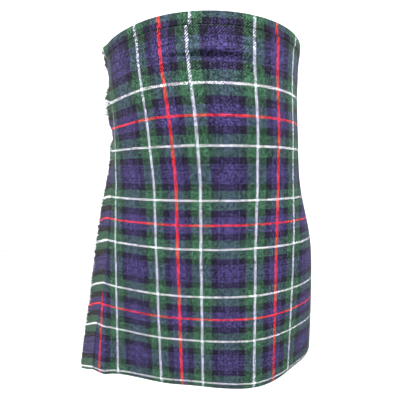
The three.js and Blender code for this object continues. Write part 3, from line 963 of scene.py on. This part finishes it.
def signedVolume(mesh):
    mesh.calc_loop_triangles()
    corner = np.empty(len(mesh.loop_triangles) * 3, dtype=np.int32)
    mesh.loop_triangles.foreach_get("vertices", corner)
    place3d = np.empty(len(mesh.vertices) * 3)
    mesh.vertices.foreach_get("co", place3d)
    a, b, c = place3d.reshape(-1, 3)[corner.reshape(-1, 3)].transpose(1, 0, 2)
    return float(np.sum(a * np.cross(b, c)) / 6)


def fixNormals(piece):
    if signedVolume(piece.data) < 0:
        piece.data.flip_normals()


def stitchTree():
    tree, entry = newTree("stitches", [("Stitch Length", "Float"), ("Thread Radius", "Float")])
    points = addNode(tree, "GeometryNodeMeshToPoints", {"Mesh": entry.outputs["Geometry"]})
    ball = addNode(tree, "GeometryNodeMeshUVSphere", {"Segments": 8, "Rings": 6, "Radius": 1.0})
    aim = addNode(tree, "GeometryNodeInputNamedAttribute", {"Name": "aim"}, data_type="FLOAT_VECTOR")
    turned = addNode(tree, "FunctionNodeAlignRotationToVector", {"Vector": aim.outputs[0]}, axis="X")
    half = addNode(tree, "ShaderNodeMath", {0: entry.outputs["Stitch Length"], 1: 0.5}, operation="MULTIPLY")
    sized = addNode(tree, "ShaderNodeCombineXYZ", {"X": half.outputs[0], "Y": entry.outputs["Thread Radius"],
                                                  "Z": entry.outputs["Thread Radius"]})
    placed = addNode(tree, "GeometryNodeInstanceOnPoints", {
        "Points": points.outputs[0], "Instance": ball.outputs[0],
        "Rotation": turned.outputs[0], "Scale": sized.outputs[0]})
    real = addNode(tree, "GeometryNodeRealizeInstances", {"Geometry": placed.outputs[0]})
    rounded = addNode(tree, "GeometryNodeSetShadeSmooth", {"Geometry": real.outputs[0]})
    dressed = addNode(tree, "GeometryNodeSetMaterial", {"Geometry": rounded.outputs[0], "Material": thread})
    addNode(tree, "NodeGroupOutput", {"Geometry": dressed.outputs[0]})
    return tree


stitches = stitchTree()


def sewStitches(name, starts, ends, length, radius):
    starts, ends = np.array(starts), np.array(ends)
    middles = (starts + ends) / 2
    aims = (ends - starts) / np.linalg.norm(ends - starts, axis=1)[:, None]
    sewn = growNodes(name, middles, {"aim": aims}, stitches,
                     {"Stitch Length": 0.001 * length, "Thread Radius": 0.001 * radius})
    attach(sewn, "root")
    return sewn


def strapStitches(name, line, inset, outerDepth):
    step = strap["stitchLength"] + strap["stitchGap"]
    low, high = min(line), max(line)
    starts, ends = [], []
    for s in np.arange(low, high - strap["stitchLength"], step):
        for z in (-(strap["width"] / 2 - inset), strap["width"] / 2 - inset):
            starts.append(stripPoint(s, outerDepth, z))
            ends.append(stripPoint(s + strap["stitchLength"], outerDepth, z))
    return sewStitches(name, starts, ends, strap["stitchLength"], strap["stitchRadius"])


def surfaceBasis(along, depth, direction):
    point, tangent, normal = (v[0] for v in ring(0.0).at(np.array([along])))
    x = Vector((tangent[0] * direction, tangent[1] * direction, 0))
    z = Vector((normal[0], normal[1], 0))
    y = z.cross(x)
    origin = Vector((point[0] - normal[0] * depth, point[1] - normal[1] * depth, 0))
    return Matrix((x, y, z)).transposed(), origin


def roundBar(name, stations, radii, closed, basis, origin, material, flatten=1.0, sides=12):
    stations = np.array(stations, dtype=float)
    count = len(stations)
    vertices = []
    for i, point in enumerate(stations):
        if closed:
            ahead = stations[(i + 1) % count] - stations[i - 1]
        else:
            ahead = stations[min(i + 1, count - 1)] - stations[max(i - 1, 0)]
        ahead /= np.linalg.norm(ahead)
        side = np.cross(ahead, [0, 0, 1.0])
        if np.linalg.norm(side) < 0.05:
            side = np.array([1.0, 0, 0])
        side /= np.linalg.norm(side)
        up = np.cross(side, ahead)
        for k in range(sides):
            a = 2 * math.pi * k / sides
            local = point + radii[i] * (side * math.cos(a) + up * math.sin(a) * flatten)
            vertices.append(tuple(basis @ Vector(local) + origin))
    piece = makeObject(name, vertices, barFaces(count, sides, closed), material, None, 60)
    fixNormals(piece)
    return piece


def roundedLoop(x0, x1, half, radius, step=2.0):
    corners = [(x1 - radius, half - radius, 0), (x0 + radius, half - radius, 90),
               (x0 + radius, -(half - radius), 180), (x1 - radius, -(half - radius), 270)]
    loop = []
    for cx, cy, a0 in corners:
        for a in np.radians(np.linspace(a0, a0 + 90, 7)):
            loop.append((cx + radius * math.cos(a), cy + radius * math.sin(a), 0.0))
    dense = []
    for a, b in zip(loop, loop[1:] + loop[:1]):
        a, b = np.array(a), np.array(b)
        count = max(1, round(float(np.linalg.norm(b - a)) / step))
        dense += [a + (b - a) * t for t in np.arange(count) / count]
    return dense


def fastening(side, direction, start, leavesAt, buckleAt):
    def go(distance):
        return buckleAt + direction * distance

    route = strapRoute(direction, start, leavesAt, buckleAt)
    finishPiece(leatherStrip(f"strapLeather_{side}", route, True), "leather", f"strap_{side}")
    half = strap["thickness"] / 2
    outside = -(strap["clearance"] + half)
    first, last = go(buckle["bar"] / 2 + strap["chapeGap"]), go(strap["chapeLength"])
    chapeRoute = np.array([[s, outside] for s in first + (last - first) * fractions(5)])
    finishPiece(leatherStrip(f"chapeLeather_{side}", chapeRoute, False), "leather", f"chape_{side}")
    tipFace = -(2 * strap["clearance"] + 2 * strap["thickness"])
    strapStitches(f"strapStitches_{side}", [leavesAt + direction * 18, go(-16)], strap["stitchInset"],
                  outside - half - 0.05)
    strapStitches(f"tipStitches_{side}", [go(16), go(44)], strap["stitchInset"], tipFace - 0.05)
    # punched holes are not cut out: short discs of the dark thread colour sit on the free end in their place,
    # painted shade for the holes' dark insides
    for k in range(3):
        basis, origin = surfaceBasis(go(18 + k * strap["holeSpacing"]), tipFace - 0.03, 1)
        hole = roundBar(f"strapHoleShadeDisc{k + 1}_{side}", [(0, 0, -0.35), (0, 0, 0.02)],
                        [strap["holeRadius"]] * 2, False, basis, origin, thread, 1.0, 20)
        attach(hole, "root")
    heelDepth = -(strap["frameStandOff"] + buckle["bar"] / 2)
    basis, origin = surfaceBasis(buckleAt, heelDepth, -direction)
    reach = buckle["inside"] / 2 + buckle["bar"] / 2
    loop = roundedLoop(0, buckle["length"] - buckle["bar"] / 2, reach, 4.0)
    frameRing = roundBar(f"buckleFrame_{side}", loop, [buckle["bar"] / 2] * len(loop), True, basis, origin,
                         nickel)
    finishPiece(frameRing, "buckle", f"buckle_{side}")
    overHeel = -(strap["frameStandOff"] + buckle["bar"] + strap["heelClearance"] + half)
    prongDepth = overHeel - half - buckle["prong"] / 2 - strap["heelClearance"]
    basis, origin = surfaceBasis(buckleAt, prongDepth, -direction)
    length = buckle["length"] + 2
    stations = [(x, 0, 0.5 * math.sin(math.pi * (x + 3) / length))
                for x in np.linspace(-4.1, length - 1.9, 24)]
    full = buckle["prong"] / 2
    radii = [full * min(1.0, 0.35 + 0.65 * math.sin(min(1.0, (i + 0.4) / 3) * math.pi / 2)) *
             (1 - 0.25 * i / 23) * (0.55 if i == 23 else 1.0) for i in range(24)]
    tongue = roundBar(f"buckleProng_{side}", stations, radii, False, basis, origin, nickel, 0.85)
    finishPiece(tongue, "buckle", f"prong_{side}")


rightEdge = wrapAt("apronEdge", 0)
slitCentre = wrapAt("crease", 0) - overApron["slitBefore"]
fastening("right", -1, rightEdge + 28, rightEdge - 22, wrapAt("lastFold", 0) - 70)
fastening("left", 1, 0.6 * quarter(0), slitCentre - 3, wrapAt("crease", 0) + 70)
print("straps and buckles made")

bandStitch = {"length": 3.0, "gap": 1.4, "radius": 0.35, "belowSeam": 0.9}


def sewBand():
    starts, ends = [], []
    z = seamHeight - bandStitch["belowSeam"]
    step = bandStitch["length"] + bandStitch["gap"]
    for s in np.arange(wrapAt("apronEdge", z) + 3, creaseAt(z) - 4, step):
        for at, bucket in ((s, starts), (s + bandStitch["length"], ends)):
            bucket.append(place(z, np.array([at]), np.array([-0.1]), True)[0])
    return sewStitches("waistbandStitches", starts, ends, bandStitch["length"],
                       bandStitch["radius"])


sewBand()
for piece in [o for o in bpy.context.scene.objects if o.type == "MESH"]:
    if len(piece.data.polygons) > 400 and signedVolume(piece.data) < 0:
        print("inside out:", piece.name)

camera = bpy.data.objects.new("camera", bpy.data.cameras.new("camera"))
bpy.context.scene.collection.objects.link(camera)
camera.location = (0.03145, -0.5387, -0.1783)
camera.rotation_euler = (math.radians(90 - 14.8), 0, math.radians(0.32))
camera.data.lens = 22.0
camera.data.sensor_width = 36.0
camera.data.shift_x = -0.0589
camera.data.shift_y = 0.1205
camera.data.clip_start = 0.01
bpy.context.scene.camera = camera

studio = {"world": 0.6, "key": 42.0, "fill": 5.5, "rim": 6.0, "floorDrop": 0.9}


def softLight(name, place3d, target, size, power):
    data = bpy.data.lights.new(name, "AREA")
    data.shape = "RECTANGLE"
    data.size, data.size_y = size
    data.energy = power
    light = bpy.data.objects.new(name, data)
    bpy.context.scene.collection.objects.link(light)
    light.location = place3d
    light.rotation_euler = (Vector(target) - Vector(place3d)).to_track_quat("-Z", "Y").to_euler()
    return light


softLight("keyLight", (0.2, -1.25, 1.25), (0, 0, -0.05), (0.9, 0.6), studio["key"])
softLight("fillLight", (-1.6, -0.9, 0.1), (0, 0, -0.25), (0.9, 1.4), studio["fill"])
softLight("rimLight", (1.5, 0.9, 0.7), (0, 0, -0.2), (0.8, 1.2), studio["rim"])

world = bpy.data.worlds.new("studioWorld")
world.use_nodes = True
world.node_tree.nodes["Background"].inputs["Color"].default_value = (1, 1, 1, 1)
world.node_tree.nodes["Background"].inputs["Strength"].default_value = studio["world"]
bpy.context.scene.world = world
bpy.context.scene.view_settings.view_transform = "Standard"


def stagePaper(name, vertices, faces, glow):
    # white paper that shows to the lens but throws no light back on the cloth
    material, tree, shader = newMaterial(name + "White")
    shader.inputs["Base Color"].default_value = (0.9, 0.9, 0.9, 1)
    shader.inputs["Roughness"].default_value = 0.9
    shader.inputs["Emission Color"].default_value = (1, 1, 1, 1)
    shader.inputs["Emission Strength"].default_value = glow
    paper = makeObject(name, vertices, faces, material)
    paper.visible_diffuse = False
    paper.visible_shadow = False


def makeStage():
    level = form["hem"] - 1000 * studio["floorDrop"]
    turns = np.linspace(0, 2 * math.pi, 65)[:-1]
    disc = [(6000 * math.cos(a), 6000 * math.sin(a), level) for a in turns]
    stagePaper("paperFloor", disc, [list(range(64))], 0.7)
    heights3d = [level - 5, 0, 3000, 5000, 5900]
    radii = [6100, 6100, 5300, 3300, 900]
    dome = [(r * math.cos(a), r * math.sin(a), z) for z, r in zip(heights3d, radii) for a in turns]
    faces = [[i * 64 + (k + 1) % 64, i * 64 + k, (i + 1) * 64 + k, (i + 1) * 64 + (k + 1) % 64]
             for i in range(4) for k in range(64)]
    faces.append([4 * 64 + k for k in reversed(range(64))])
    stagePaper("paperSurround", dome, faces, 1.0)


makeStage()
print("camera, light and floor set")
